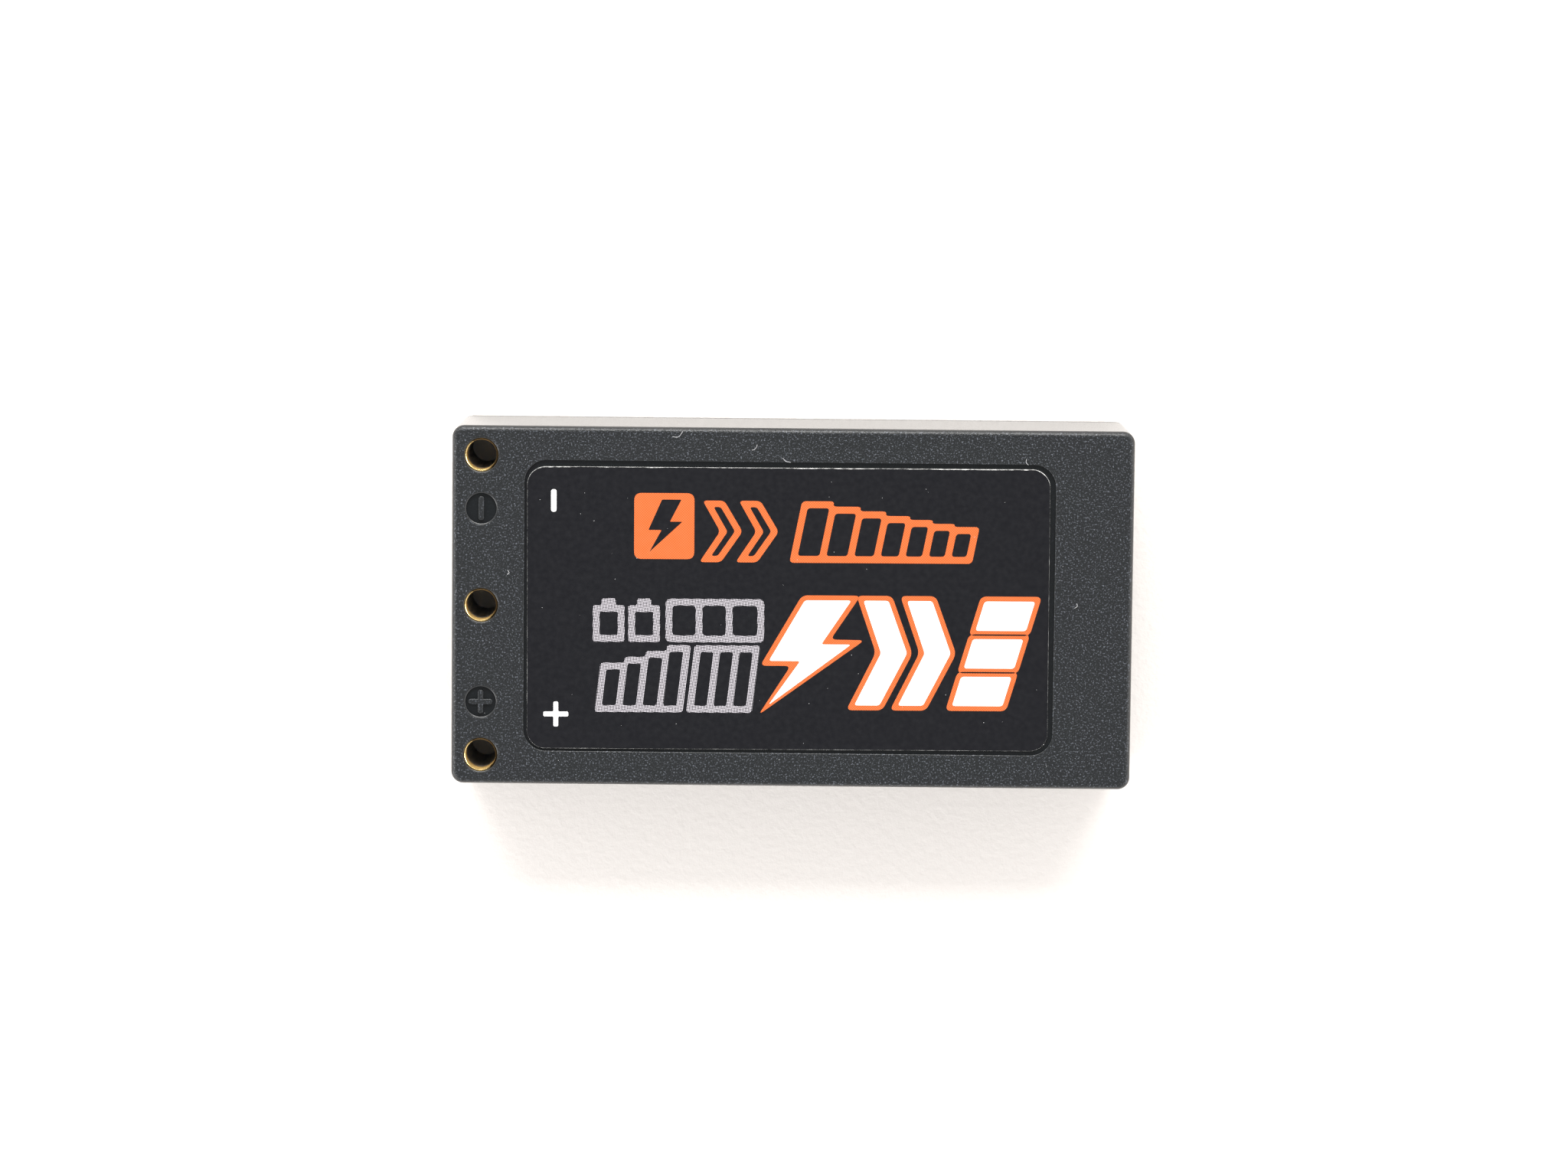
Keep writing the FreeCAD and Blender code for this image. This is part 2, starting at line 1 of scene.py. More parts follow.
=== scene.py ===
"""Looks, studio and camera for the hard-case battery pack.

Everything is in metres, in the frame of the CAD model.
"""
import json
import math
import random

import bmesh
import bpy
from mathutils import Matrix, Vector


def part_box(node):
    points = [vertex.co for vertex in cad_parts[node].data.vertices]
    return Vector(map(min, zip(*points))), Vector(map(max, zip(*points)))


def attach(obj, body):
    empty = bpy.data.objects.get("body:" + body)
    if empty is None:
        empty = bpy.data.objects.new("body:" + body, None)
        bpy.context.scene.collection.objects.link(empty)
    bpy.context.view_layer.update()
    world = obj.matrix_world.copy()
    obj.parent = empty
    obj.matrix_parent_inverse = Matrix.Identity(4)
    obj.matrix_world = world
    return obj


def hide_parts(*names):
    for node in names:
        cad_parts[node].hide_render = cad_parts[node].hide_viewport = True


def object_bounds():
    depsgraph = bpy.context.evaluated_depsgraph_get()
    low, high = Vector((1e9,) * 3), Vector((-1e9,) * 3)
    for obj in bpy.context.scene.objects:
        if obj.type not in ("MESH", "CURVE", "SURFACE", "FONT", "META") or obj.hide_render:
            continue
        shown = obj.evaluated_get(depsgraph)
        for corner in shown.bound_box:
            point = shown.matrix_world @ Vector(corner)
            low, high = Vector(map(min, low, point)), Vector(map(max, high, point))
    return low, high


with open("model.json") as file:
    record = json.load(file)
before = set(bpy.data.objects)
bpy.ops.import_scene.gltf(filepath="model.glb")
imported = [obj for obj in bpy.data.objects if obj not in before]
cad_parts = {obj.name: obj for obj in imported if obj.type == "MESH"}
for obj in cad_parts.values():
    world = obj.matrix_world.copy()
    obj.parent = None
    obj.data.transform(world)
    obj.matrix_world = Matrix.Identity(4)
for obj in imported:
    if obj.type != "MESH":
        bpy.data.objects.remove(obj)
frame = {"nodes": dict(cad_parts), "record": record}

MM = 0.001
NODES = frame["nodes"]
cad_box = [list(corner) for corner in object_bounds()]
CASE_MIDDLE = (cad_box[0][2] + cad_box[1][2]) / 2
rng = random.Random(7)


# ---------------------------------------------------------------- material nodes


class Nodes:
    """A new material's node tree, with short calls for the nodes used here."""

    def __init__(self, name):
        self.material = bpy.data.materials.new(name)
        self.material.use_nodes = True
        self.tree = self.material.node_tree
        self.shader = self.tree.nodes["Principled BSDF"]
        self.place = self.tree.nodes.new("ShaderNodeTexCoord").outputs["Object"]

    def link(self, output, socket):
        self.tree.links.new(output, socket)

    def put(self, socket, value):
        """Links an output to a socket, or sets the socket to a plain value."""
        if isinstance(value, bpy.types.NodeSocket):
            self.link(value, socket)
        else:
            socket.default_value = value

    def math(self, operation, first, second=0.0, third=0.0):
        node = self.tree.nodes.new("ShaderNodeMath")
        node.operation = operation
        for socket, value in zip(node.inputs, (first, second, third)):
            self.put(socket, value)
        return node.outputs[0]

    def rise(self):
        """The upward part of the face's own normal: 1 on level faces, 0 on upright ones."""
        node = self.tree.nodes.new("ShaderNodeNewGeometry")
        return self.split(node.outputs["True Normal"])["Z"]

    def split(self, vector):
        """The X, Y and Z outputs of a vector."""
        node = self.tree.nodes.new("ShaderNodeSeparateXYZ")
        self.link(vector, node.inputs[0])
        return node.outputs

    def mapped(self, scale=(1, 1, 1), turn=0.0):
        """The place on the object, stretched and turned about Z."""
        node = self.tree.nodes.new("ShaderNodeMapping")
        self.link(self.place, node.inputs["Vector"])
        node.inputs["Rotation"].default_value = (0, 0, turn)
        node.inputs["Scale"].default_value = scale
        return node.outputs[0]

    def noise(self, grain, detail=2.0, rough=0.5, stretch=(1, 1, 1)):
        """Noise whose blobs are about one grain across, in metres."""
        node = self.tree.nodes.new("ShaderNodeTexNoise")
        self.link(self.mapped(stretch), node.inputs["Vector"])
        node.inputs["Scale"].default_value = 1 / grain
        node.inputs["Detail"].default_value = detail
        node.inputs["Roughness"].default_value = rough
        return node.outputs["Fac"]

    def cells(self, grain):
        """Distances in a pattern of cells about one grain across, in metres."""
        node = self.tree.nodes.new("ShaderNodeTexVoronoi")
        self.link(self.place, node.inputs["Vector"])
        node.inputs["Scale"].default_value = 1 / grain
        return node.outputs["Distance"]

    def ranged(self, value, low, high, to_low=0.0, to_high=1.0):
        node = self.tree.nodes.new("ShaderNodeMapRange")
        for socket, number in zip(node.inputs, (value, low, high, to_low, to_high)):
            self.put(socket, number)
        return node.outputs[0]

    def mixed(self, share, first, second):
        """A colour between two colours."""
        node = self.tree.nodes.new("ShaderNodeMix")
        node.data_type = "RGBA"
        self.put(node.inputs["Factor"], share)
        for socket, colour in ((node.inputs["A"], first), (node.inputs["B"], second)):
            self.put(socket, colour if isinstance(colour, bpy.types.NodeSocket) else (*colour, 1))
        return node.outputs["Result"]

    def bump(self, height, depth, strength=1.0, under=None):
        """Relief of a depth in metres, laid over another relief if one is given."""
        node = self.tree.nodes.new("ShaderNodeBump")
        node.inputs["Strength"].default_value = strength
        node.inputs["Distance"].default_value = depth
        self.link(height, node.inputs["Height"])
        if under:
            self.link(under, node.inputs["Normal"])
        return node.outputs[0]

    def finish(self, colour, rough, relief=None, **fixed):
        """Connects the shader and returns the material; fixed are plain values by socket name."""
        self.put(self.shader.inputs["Base Color"], colour)
        self.put(self.shader.inputs["Roughness"], rough)
        if relief:
            self.link(relief, self.shader.inputs["Normal"])
        for name, value in fixed.items():
            self.shader.inputs[name.replace("_", " ")].default_value = value
        return self.material


def case_plastic():
    """Black moulding: spark-eroded stipple on the two broad faces, satin everywhere else. The
    stipple's bright specks are painted glints, and they also set the broad faces' grey.
    """
    n = Nodes("case_plastic_finish")
    height = n.split(n.place)["Z"]
    from_middle = n.math("ABSOLUTE", n.math("SUBTRACT", height, CASE_MIDDLE))
    broad = n.ranged(from_middle, 4.86 * MM, 4.96 * MM)
    grains = n.noise(0.10 * MM, detail=1.5, rough=0.55)
    dots = n.noise(0.11 * MM, detail=2.0, rough=0.6)
    stipple = n.math("MULTIPLY", grains, n.ranged(broad, 0.0, 1.0, 0.07, 1.0))
    relief = n.bump(stipple, 0.034 * MM, 0.9)
    # painted glints: bright specks in the broad faces' colour stand in for the stipple catching the
    # lights, and they also set the faces' grey
    shown = n.math("MULTIPLY", n.ranged(dots, 0.56, 0.70), n.ranged(broad, 0.0, 1.0, 0.06, 1.0))
    colour = n.mixed(shown, (0.0058, 0.0072, 0.0084), (0.096, 0.105, 0.124))
    rough = n.ranged(broad, 0.0, 1.0, 0.15, 0.38)
    return n.finish(colour, rough, relief)


def label_black():
    """Satin black print on a white film, whose cut edge stays white."""
    n = Nodes("label_black_finish")
    upright = n.math("LESS_THAN", n.math("ABSOLUTE", n.rise()), 0.5)
    mottle = n.noise(0.35 * MM, detail=3.0)
    black = n.mixed(mottle, (0.0024, 0.0026, 0.0044), (0.0040, 0.0042, 0.0064))
    colour = n.mixed(upright, black, (0.62, 0.62, 0.61))
    orange_peel = n.noise(0.9 * MM, detail=1.0)
    relief = n.bump(orange_peel, 0.004 * MM, 0.5)
    rough = n.ranged(mottle, 0.3, 0.7, 0.30, 0.38)
    return n.finish(colour, rough, relief, Specular_IOR_Level=0.43)


def halftone(n, pitch, turn, edge, softness):
    """1 on the printed dots and 0 between them, for a screen of this pitch in metres."""
    around = 2 * math.pi / pitch
    place = n.split(n.mapped((around, around, around), turn))
    waves = [n.math("COSINE", place[axis]) for axis in ("X", "Y")]
    both = n.math("ADD", *waves)
    return n.ranged(both, edge - softness, edge + softness)


def orange_ink():
    n = Nodes("orange_ink_finish")
    dots = halftone(n, 0.12 * MM, math.radians(45), 0.0, 0.9)
    tone = n.noise(0.6 * MM)
    ink = n.mixed(tone, (0.50, 0.070, 0.008), (0.52, 0.084, 0.013))
    colour = n.mixed(dots, ink, (0.54, 0.150, 0.047))
    return n.finish(colour, n.ranged(tone, 0.3, 0.7, 0.30, 0.40), n.bump(dots, 0.001 * MM, 0.3))


def grey_ink():
    n = Nodes("grey_ink_finish")
    dots = halftone(n, 0.10 * MM, math.radians(7), 0.25, 0.35)
    tone = n.noise(0.5 * MM)
    ink = n.mixed(tone, (0.60, 0.57, 0.62), (0.66, 0.63, 0.67))
    colour = n.mixed(dots, (0.016, 0.015, 0.018), ink)
    return n.finish(colour, n.ranged(tone, 0.3, 0.7, 0.30, 0.40), n.bump(dots, 0.001 * MM, 0.3))


def white_ink():
    n = Nodes("white_ink_finish")
    tone = n.noise(0.4 * MM, detail=3.0)
    colour = n.mixed(tone, (0.80, 0.79, 0.78), (0.86, 0.85, 0.84))
    relief = n.bump(n.noise(0.05 * MM), 0.001 * MM, 0.3)
    return n.finish(colour, n.ranged(tone, 0.3, 0.7, 0.30, 0.40), relief)


def bare_film():
    """The white film where the knife has cut it, grubby in places."""
    n = Nodes("bare_film_finish")
    grime = n.noise(0.35 * MM, detail=3.0, rough=0.6)
    colour = n.mixed(n.ranged(grime, 0.38, 0.62), (0.12, 0.12, 0.12), (0.72, 0.72, 0.70))
    return n.finish(colour, n.ranged(grime, 0.3, 0.7, 0.4, 0.6), n.bump(grime, 0.004 * MM, 0.5))


def grained(name, grain, colours, rough, depth, stretch=(1, 1, 1), **fixed):
    """A finish of two close colours with relief and gloss that follow one grain."""
    n = Nodes(f"{name}_finish")
    fine = n.noise(grain, detail=3.0, stretch=stretch)
    broad = n.noise(grain * 12)
    colour = n.mixed(n.math("MULTIPLY_ADD", broad, 0.5, n.math("MULTIPLY", fine, 0.5)), *colours)
    relief = n.bump(fine, depth, 0.8)
    return n.finish(colour, n.ranged(fine, 0.3, 0.7, *rough), relief, **fixed)


def gold_plate():
    """Gold plating over turning marks that run round the socket, with painted shade: dark brown on
    level faces, and duller and greyer deep in the bore.
    """
    n = Nodes("gold_plate_finish")
    marks = n.noise(0.05 * MM, detail=3.0, stretch=(0.15, 0.15, 1.6))
    depth = n.ranged(n.split(n.place)["Z"], 9.0 * MM, 8.2 * MM)
    level = n.ranged(n.rise(), 0.75, 0.98)
    bright = n.mixed(marks, (0.85, 0.56, 0.17), (0.98, 0.74, 0.32))
    # painted shade: level faces turn dark brown
    gold_with_level_shade = n.mixed(level, bright, (0.34, 0.21, 0.08))
    # painted shade: the colour turns duller and greyer down the bore
    colour = n.mixed(depth, gold_with_level_shade, (0.38, 0.40, 0.44))
    rough = n.ranged(depth, 0.0, 1.0, 0.30, 0.6)
    bare = n.ranged(n.math("MAXIMUM", level, depth), 0.0, 1.0, 0.5, 1.0)
    n.link(bare, n.shader.inputs["Metallic"])
    return n.finish(colour, rough, n.bump(marks, 0.012 * MM, 0.9))


def gold_lip_painted_highlight():
    """Gold plating with a painted highlight on the side towards the pack's front left corner, where
    the front-left light catches the lip, and painted shade on the far side.
    """
    n = Nodes("gold_lip_painted_highlight_finish")
    place = n.split(n.place)
    # the painted highlight faces this way, towards the front-left light
    corner, radius = math.radians(215), 1.1 * MM
    across = n.math("MULTIPLY", place["X"], math.cos(corner) / radius)
    toward = n.math("MULTIPLY_ADD", place["Y"], math.sin(corner) / radius, across)
    marks = n.noise(0.12 * MM, detail=3.0)
    uneven = n.math("MULTIPLY_ADD", marks, 0.5, toward)
    highlight_share = n.ranged(uneven, 0.15, 0.75)
    # painted highlight and shade: bright gold on the lit side, dark brown on the far side
    colour = n.mixed(highlight_share, (0.050, 0.032, 0.014), (0.98, 0.72, 0.32))
    rough = n.ranged(highlight_share, 0.0, 1.0, 0.55, 0.26)
    return n.finish(colour, rough, n.bump(marks, 0.012 * MM, 0.6), Metallic=1.0)


def rim_plastic():
    """The case's black plastic where an edge is rounded over and burnished."""
    n = Nodes("rim_plastic_finish")
    grains = n.noise(0.09 * MM, detail=2.0)
    colour = n.mixed(grains, (0.004, 0.005, 0.006), (0.012, 0.013, 0.015))
    rough = n.ranged(grains, 0.3, 0.7, 0.26, 0.36)
    return n.finish(colour, rough, n.bump(grains, 0.006 * MM, 0.5), Specular_IOR_Level=1.0)


def circuit_board():
    """Green solder mask over the weave of the glass cloth."""
    n = Nodes("circuit_board_finish")
    weave = halftone(n, 0.5 * MM, 0.0, 0.0, 1.6)
    mottle = n.noise(0.4 * MM)
    colour = n.mixed(weave, (0.008, 0.075, 0.030), (0.014, 0.115, 0.045))
    return n.finish(colour, n.ranged(mottle, 0.3, 0.7, 0.22, 0.34), n.bump(weave, 0.006 * MM, 0.5))


def electrode_stack():
    """Dark electrodes and pale separators, seen as fine layers up the stack."""
    n = Nodes("electrode_stack_finish")
    height = n.split(n.place)["Z"]
    layers = n.math("SINE", n.math("MULTIPLY", height, 2 * math.pi / (0.24 * MM)))
    pale = n.ranged(layers, 0.7, 0.95)
    grain = n.noise(0.06 * MM, detail=3.0)
    dark = n.mixed(grain, (0.020, 0.020, 0.022), (0.045, 0.045, 0.048))
    colour = n.mixed(pale, dark, (0.52, 0.52, 0.50))
    return n.finish(colour, n.ranged(grain, 0.3, 0.7, 0.7, 0.9), n.bump(layers, 0.02 * MM, 0.5))


def foam():
    """Soft black foam with open pores, painted darker inside each pore as shade."""
    n = Nodes("foam_finish")
    pores = n.cells(0.16 * MM)
    # painted shade: darker at the pore centres, where the pits are
    colour = n.mixed(n.ranged(pores, 0.1, 0.6), (0.010, 0.010, 0.011), (0.045, 0.045, 0.047))
    return n.finish(colour, n.ranged(pores, 0.0, 0.6, 0.85, 1.0), n.bump(pores, 0.04 * MM, 0.9))


def pouch_laminate():
    """Silver-grey laminate, lightly embossed and creased."""
    n = Nodes("pouch_laminate_finish")
    creases = n.noise(2.2 * MM, detail=4.0, rough=0.6)
    grain = n.noise(0.12 * MM)
    colour = n.mixed(grain, (0.42, 0.43, 0.45), (0.52, 0.53, 0.55))
    relief = n.bump(grain, 0.004 * MM, 0.6, under=n.bump(creases, 0.05 * MM, 0.5))
    return n.finish(colour, n.ranged(creases, 0.3, 0.7, 0.28, 0.42), relief, Metallic=0.6)


def metal(name, colours, rough):
    """Rolled metal with its grain along Y."""
    return grained(
        name, 0.06 * MM, colours, rough, 0.002 * MM, stretch=(1, 0.08, 1), Metallic=1.0
    )


FINISHES = {
    "case_plastic": case_plastic(),
    "label_film": label_black(),
    "gold_plate": gold_plate(),
    "nickel_strip": metal("nickel_strip", ((0.50, 0.47, 0.42), (0.62, 0.59, 0.54)), (0.22, 0.36)),
    "solder": grained(
        "solder", 0.20 * MM, ((0.50, 0.51, 0.53), (0.66, 0.67, 0.69)), (0.18, 0.34),
        0.006 * MM, Metallic=1.0,
    ),
    "circuit_board": circuit_board(),
    "pouch_laminate": pouch_laminate(),
    "electrode_stack": electrode_stack(),
    "tab_film": grained(
        "tab_film", 0.10 * MM, ((0.56, 0.56, 0.52), (0.68, 0.68, 0.64)), (0.35, 0.5), 0.003 * MM,
    ),
    "aluminium_tab": metal("aluminium_tab", ((0.72, 0.72, 0.73), (0.84, 0.84, 0.85)), (0.2, 0.34)),
    "nickel_tab": metal("nickel_tab", ((0.56, 0.53, 0.48), (0.68, 0.65, 0.60)), (0.2, 0.34)),
    "foam": foam(),
    "bonding_tape": grained(
        "bonding_tape", 0.08 * MM, ((0.62, 0.62, 0.59), (0.76, 0.76, 0.73)), (0.6, 0.8),
        0.006 * MM, stretch=(0.2, 1, 1),
    ),
    "amber_film": grained(
        "amber_film", 0.25 * MM, ((0.42, 0.17, 0.012), (0.55, 0.26, 0.03)), (0.12, 0.2),
        0.002 * MM, Coat_Weight=0.4, Coat_Roughness=0.1,
    ),
}
INKS = {"orange": orange_ink(), "grey": grey_ink(), "white": white_ink(), "edge": bare_film()}


def paint_nodes():
    """Gives every CAD node the finish of its own material slot."""
    for part in frame["record"]["subparts"]:
        mesh = NODES[part["node"]].data
        mesh.materials.clear()
        mesh.materials.append(FINISHES[part["material_slot"]])


# ---------------------------------------------------------------- pieces


def add_piece(name, mesh, material, at=(0, 0, 0), turn=0.0):
    """Puts a mesh in the scene as a piece that rides on the pack."""
    mesh.materials.clear()
    mesh.materials.append(material)
    piece = bpy.data.objects.new(name, mesh)
    bpy.context.scene.collection.objects.link(piece)
    piece.matrix_world = Matrix.Translation(at) @ Matrix.Rotation(turn, 4, "Z")
    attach(piece, "root")
    return piece


def corners(points):
    """Each corner with the ones before and after it."""
    points = [Vector(point) for point in points]
    return zip(points[-1:] + points[:-1], points, points[1:] + points[:1])


def grown(points, size):
    """An anticlockwise outline with every side moved outwards."""
    moved = []
    for before, here, after in corners(points):
        sides = [(here - before).normalized(), (after - here).normalized()]
        normals = [Vector((side.y, -side.x)) for side in sides]
        middle = (normals[0] + normals[1]).normalized()
        moved.append(here + middle * size / max(middle.dot(normals[0]), 0.35))
    return moved


def softened(points, radius):
    """An outline with its corners rounded."""
    steps = 7
    soft = []
    for before, here, after in corners(points):
        arms = [before - here, after - here]
        start, end = [here + arm.normalized() * min(radius, arm.length * 0.48) for arm in arms]
        for step in range(steps + 1):
            t = step / steps
            soft.append(start * (1 - t) ** 2 + here * 2 * t * (1 - t) + end * t**2)
    return soft


def leaning(left, bottom, width, height, lean, shape=((0, 0), (1, 0), (1, 1), (0, 1))):
    """A shape given in a unit square, sized, placed and leaned to the right."""
    return [(left + x * width + y * height * lean, bottom + y * height) for x, y in shape]


def stepped(left, bottom, widths, heights, lean):
    """The anticlockwise outline of leaning blocks that stand side by side on one line."""
    edges = [left]
    for width in widths:
        edges.append(edges[-1] + width)
    top = []
    for start, end, height in zip(edges, edges[1:], heights):
        top += [(start, height), (end, height)]
    kept = [spot for index, spot in enumerate(top) if spot not in top[:index]]
    outline = [(edges[0], 0), (edges[-1], 0)] + kept[::-1]
    return [(x + y * lean, bottom + y) for x, y in outline]


def outlined(points, stroke, radius):
    """The two loops of a stroke drawn inside an outline."""
    return [softened(points, radius), softened(grown(points, -stroke), radius * 0.6)]


def gauge(left, bottom, widths, heights, lean, stroke, radius):
    """Blocks side by side, drawn as one coloured outline with single lines between the blocks."""
    outer_widths = [widths[0] + stroke / 2, *widths[1:-1], widths[-1] + stroke / 2]
    outer = stepped(left - stroke / 2, bottom, outer_widths, heights, lean)
    loops = [softened(outer, radius)]
    for width, height in zip(widths, heights):
        foot = left + stroke / 2 + stroke * lean
        opening = leaning(foot, bottom + stroke, width - stroke, height - 2 * stroke, lean)
        loops.append(softened(opening, radius * 0.7))
        left += width
    return loops


BOLT = ((0.10, 0), (0.98, 0.58), (0.62, 0.58), (0.90, 1), (0.34, 1), (0.02, 0.42), (0.40, 0.42))
CHEVRON = ((0, 0), (0.52, 0), (1, 0.5), (0.52, 1), (0, 1), (0.46, 0.5))
CELL = ((0, 0), (1, 0), (1, 0.84), (0.72, 0.84), (0.72, 1), (0.28, 1), (0.28, 0.84), (0, 0.84))
INK = 0.012 * MM  # thickness of one printed layer


def plus_sign(reach, half):
    """A plus round its own middle, from the reach of its arms and half its stroke."""
    arms = [(-half, -reach), (half, -reach), (half, -half)]
    arms += [(reach, -half), (reach, half), (half, half)]
    return arms + [(-x, -y) for x, y in arms]


def curve_mesh(curve):
    """The mesh that a curve makes."""
    holder = bpy.data.objects.new(curve.name, curve)
    mesh = bpy.data.meshes.new_from_object(holder)
    bpy.data.objects.remove(holder)
    return mesh


def flat_mesh(name, loops, thickness):
    """A thin sheet of the shapes that closed loops enclose, in millimetres, standing on z = 0."""
    curve = bpy.data.curves.new(name, "CURVE")
    curve.dimensions = "2D"
    curve.fill_mode = "BOTH"
    curve.extrude = thickness / 2 / MM
    for loop in loops:
        spline = curve.splines.new("POLY")
        spline.points.add(len(loop) - 1)
        spline.use_cyclic_u = True
        for point, (x, y) in zip(spline.points, loop):
            point.co = (x, y, 0, 1)
    mesh = curve_mesh(curve)
    mesh.transform(Matrix.Translation((0, 0, thickness / 2)) @ Matrix.Scale(MM, 4))
    return mesh


def label_place():
    """The middle of the label's upper face, and the label's small turn."""
    low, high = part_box("top_label")
    return Vector(((low.x + high.x) / 2, (low.y + high.y) / 2, high.z)), math.radians(0.2)


def ink(name, loops, colour, layer=0):
    """A printed area on the label; loops are in millimetres from its middle."""
    middle, turn = label_place()
    at = middle + Vector((0, 0, layer * INK))
    add_piece(name, flat_mesh(name, loops, INK), INKS[colour], at, turn)


def print_signs():
    """The minus and plus signs beside the sockets' end of the label."""
    ink("print_minus", [softened(leaning(-15.74, 6.39, 0.36, 1.5, 0), 0.17)], "white")
    plus = [(x - 15.4, y - 7.11) for x, y in plus_sign(0.83, 0.16)]
    ink("print_plus", [softened(plus, 0.1)], "white")


def print_upper_row():
    """An orange emblem with a bolt, two chevrons and a falling gauge."""
    emblem = leaning(-10.23, 3.29, 3.99, 4.39, 0)
    bolt = leaning(-9.45, 3.75, 2.3, 3.5, 0.08, BOLT)
    ink("print_emblem", [softened(emblem, 0.5), softened(bolt, 0.08)], "orange")
    loops = []
    for left in (-5.9, -3.5):
        loops += outlined(leaning(left, 3.1, 2.75, 4.1, 0.05, CHEVRON), 0.42, 0.3)
    heights = (4.1, 3.75, 3.45, 3.15, 2.9, 2.65, 2.45)
    loops += gauge(0.3, 3.1, (1.9, 1.85, 1.75, 1.65, 1.55, 1.5, 1.45), heights, 0.2, 0.46, 0.3)
    ink("print_stripes", loops, "orange")


def print_grey_rows():
    """Two cells and a row of blocks over a charge gauge, all in a grey halftone."""
    loops = []
    for left in (-12.95, -10.6):
        loops.append(softened(leaning(left, -2.25, 2.1, 2.9, 0, CELL), 0.18))
        loops.append(softened(leaning(left + 0.45, -1.8, 1.2, 1.55, 0), 0.12))
    loops += gauge(-7.9, -2.25, (2.0, 2.0, 2.1), (2.9, 2.9, 2.9), 0, 0.45, 0.4)
    loops += gauge(-12.6, -6.95, (1.35,) * 4, (3.3, 3.7, 4.1, 4.5), 0.12, 0.45, 0.22)
    loops += gauge(-6.5, -6.95, (1.3,) * 3, (4.5, 4.5, 4.5), 0.12, 0.45, 0.22)
    ink("print_cells", loops, "grey")


def print_mark():
    """A large bolt, two chevrons and three bars, white with an orange edge."""
    lean = 0.3
    shapes = [leaning(-1.8, -6.4, 5.5, 7.0, lean - 0.15, BOLT)]
    for left in (4.45, 7.35):
        shapes.append(leaning(left, -6.4, 3.2, 7.0, 0.08, CHEVRON))
    for level in range(3):
        rise = 2.52 * level
        shapes.append(leaning(10.95 + lean * rise, rise - 6.4, 3.35, 1.96, lean))
    ink("print_mark_edge", [softened(grown(shape, 0.33), 0.4) for shape in shapes], "orange")
    ink("print_mark_fill", [softened(shape, 0.2) for shape in shapes], "white", layer=1)


def print_underside():
    """A thin grey frame on the lower label, with the minus and plus signs at the sockets' end."""
    low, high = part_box("bottom_label")
    width, depth = (high.x - low.x) / MM, (high.y - low.y) / MM
    loops = []
    for inset in (0.9, 1.15):
        left, bottom = inset - width / 2, inset - depth / 2
        loops.append(softened(leaning(left, bottom, -2 * left, -2 * bottom, 0), 1.0))
    loops.append(softened(leaning(-width / 2 + 2.2, 5.0, 1.7, 0.4, 0), 0.1))
    plus = [(x - width / 2 + 3.05, y - 5.2) for x, y in plus_sign(0.85, 0.2)]
    loops.append(softened(plus, 0.1))
    at = Vector(((low.x + high.x) / 2, (low.y + high.y) / 2, low.z - INK))
    mesh = flat_mesh("print_underside", loops, INK)
    add_piece("print_underside", mesh, INKS["grey"], at)


def make_cut_edge_and_highlight():
    """The label's pale cut edge, uneven all round, widened along the rear as a painted highlight
    where the rear light catches the edge.
    """
    low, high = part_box("top_label")
    half_x, half_y = (high.x - low.x) / 2 / MM - 0.04, (high.y - low.y) / 2 / MM - 0.06
    corner, stitch = 1.2, 0.12
    outer, inner = [], []
    for x, y, start in ((1, -1, -90), (1, 1, 0), (-1, 1, 90), (-1, -1, 180)):
        centre = Vector((x * (half_x - corner), y * (half_y - corner)))
        for step in range(25):
            angle = math.radians(start + 90 * step / 24)
            outward = Vector((math.cos(angle), math.sin(angle)))
            outer.append((centre + outward * corner, outward))
    dense = []
    for (here, out), (there, _) in zip(outer, outer[1:] + outer[:1]):
        pieces = max(1, round((there - here).length / stitch))
        dense += [(here.lerp(there, step / pieces), out) for step in range(pieces)]
    burr = 1.0
    for place, outward in dense:
        burr = min(1.7, max(0.4, burr + rng.uniform(-0.35, 0.35)))
        # painted highlight: the strip widens where the edge faces the rear light
        width = (0.005 + 0.026 * max(0.0, outward.y)) * burr
        inner.append(place - outward * width)
    ink("label_cut_edge_and_highlight", [[place for place, _ in dense], inner], "edge", layer=1)


def closed_mesh(name, work):
    """The smooth mesh of a closed bmesh, with its faces turned outwards."""
    bmesh.ops.recalc_face_normals(work, faces=work.faces)
    mesh = bpy.data.meshes.new(name)
    work.to_mesh(mesh)
    work.free()
    mesh.shade_smooth()
    return mesh


def revolve(name, centre, profile, material):
    """A ring whose closed outline, as radius and height in millimetres, runs round a centre."""
    around = 128
    work = bmesh.new()
    rows = []
    for step in range(around):
        angle = 2 * math.pi * step / around
        out = Vector((math.cos(angle), math.sin(angle), 0))
        spots = [out * radius + Vector((0, 0, height)) for radius, height in profile]
        rows.append([work.verts.new(spot * MM) for spot in spots])
    for here, there in zip(rows, rows[1:] + rows[:1]):
        for index in range(len(profile)):
            before = index - 1
            work.faces.new((here[before], there[before], there[index], here[index]))
    data = closed_mesh(name, work)
    data.set_sharp_from_angle(angle=math.radians(35))
    add_piece(name, data, material, at=centre)


HIDDEN = 0.003  # millimetres that a lining reaches into the wall behind it
DISC_FROM_SOCKET = 3.55  # millimetres from a power socket to its sign disc, towards the middle
HOLE_RADIUS, DISC_RADIUS = 1.18, 1.085


def rounded_rim(radius, top, round_size, depth):
    """The outline of a rim that lines an opening and rounds its upper edge over."""
    outline = []
    for step in range(9):
        turn = math.radians(90 + 90 * step / 8)
        across = radius + round_size * math.cos(turn)
        outline.append((across, top - round_size + round_size * math.sin(turn)))
    foot, outside = top - depth, radius + HIDDEN
    return outline + [(radius - round_size, foot), (outside, foot), (outside, top)]


